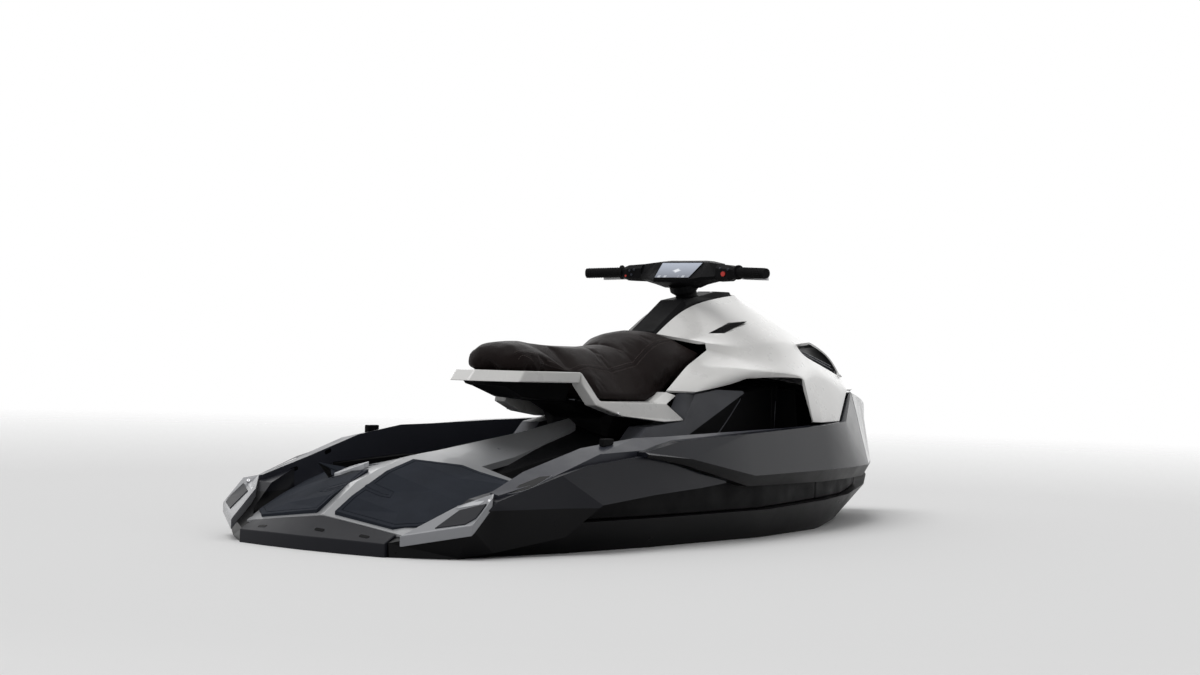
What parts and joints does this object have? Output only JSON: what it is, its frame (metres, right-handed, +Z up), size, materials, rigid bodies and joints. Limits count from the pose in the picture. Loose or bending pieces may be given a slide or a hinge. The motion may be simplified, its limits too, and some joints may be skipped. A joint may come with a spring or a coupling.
{
  "type": "electric personal watercraft",
  "caption": "Two-seat electric personal watercraft with faceted hood, saddle, footwells, handlebar and a steerable jet pump outlet.",
  "frame": {"origin": "centreline at the waterline, amidships", "axes": "+X to the bow, +Y to port, +Z up"},
  "size_m": [2.9218, 1.14, 1.0802],
  "materials": {
    "gloss_black": "gloss black gel coat",
    "satin_black": "satin black moulding",
    "battery_case": "plain sealed case",
    "bumper_dark": "dark grey gloss",
    "side_grey": "dark warm grey satin",
    "strip_grey": "mid grey satin",
    "silver": "light silver gloss",
    "white": "gloss white",
    "vinyl": "brown-black marine vinyl, stitched",
    "mat": "grooved foam traction mat, matte",
    "grip_rubber": "ribbed rubber",
    "metal": "satin metal",
    "screen": "dark glass",
    "red": "red plastic"
  },
  "bodies": {
    "root": {"aft_panel_port": "side_grey", "aft_panel_starboard": "side_grey", "battery_motor_block": "battery_case", "bow_block": "satin_black", "bow_bumper": "bumper_dark", "cleat_port": "satin_black", "cleat_starboard": "satin_black", "corner_plate_port": "silver", "corner_plate_starboard": "silver", "footwell_tub": "satin_black", "gunwale_port": "strip_grey", "gunwale_starboard": "strip_grey", "hood_panel_port": "white", "hood_panel_starboard": "white", "hood_slot_port": "satin_black", "hood_slot_starboard": "satin_black", "hull": "gloss_black", "intake_grate": "metal", "nose_vent_port": "gloss_black", "nose_vent_starboard": "gloss_black", "pump_housing": "metal", "ramp_base": "satin_black", "rear_deck": "silver", "rear_mat_port": "mat", "rear_mat_starboard": "mat", "ride_plate": "satin_black", "seat": "vinyl", "seat_base": "satin_black", "side_bumper_port": "bumper_dark", "side_bumper_starboard": "bumper_dark", "side_frame_port": "white", "side_frame_starboard": "white", "side_panel_port": "strip_grey", "side_panel_starboard": "strip_grey", "spine_cowl": "satin_black", "stern_bumper": "side_grey", "tail_band": "white", "tail_housing": "satin_black", "tow_plate": "silver", "well_mat_port": "mat", "well_mat_starboard": "mat"},
    "steering": {"steering_column": "satin_black", "handlebar": "satin_black", "console": "satin_black", "display": "screen", "grip_port": "grip_rubber", "grip_starboard": "grip_rubber", "switch_pod_port": "satin_black", "switch_pod_starboard": "satin_black", "lever_port": "metal", "lever_starboard": "metal", "stop_button": "red"},
    "nozzle": {"steering_nozzle": "metal"},
    "impeller": {"impeller": "metal"}
  },
  "joints": [
    {"name": "steering_turn", "type": "hinge", "parent": "root", "child": "steering", "pos_m": [0.3, 0, 0.755], "axis": [-0.4226, 0, 0.9063], "range_deg": [-22, 22]},
    {"name": "nozzle_turn", "type": "hinge", "parent": "root", "child": "nozzle", "pos_m": [-1.362, 0, -0.075], "axis": [0, 0, 1], "range_deg": [-22, 22]},
    {"name": "impeller_spin", "type": "hinge", "parent": "root", "child": "impeller", "pos_m": [-1.15, 0, -0.075], "axis": [1, 0, 0], "continuous": true}
  ],
  "couplings": [
    {"joint": "nozzle_turn", "follows": "steering_turn", "ratio": -1}
  ]
}
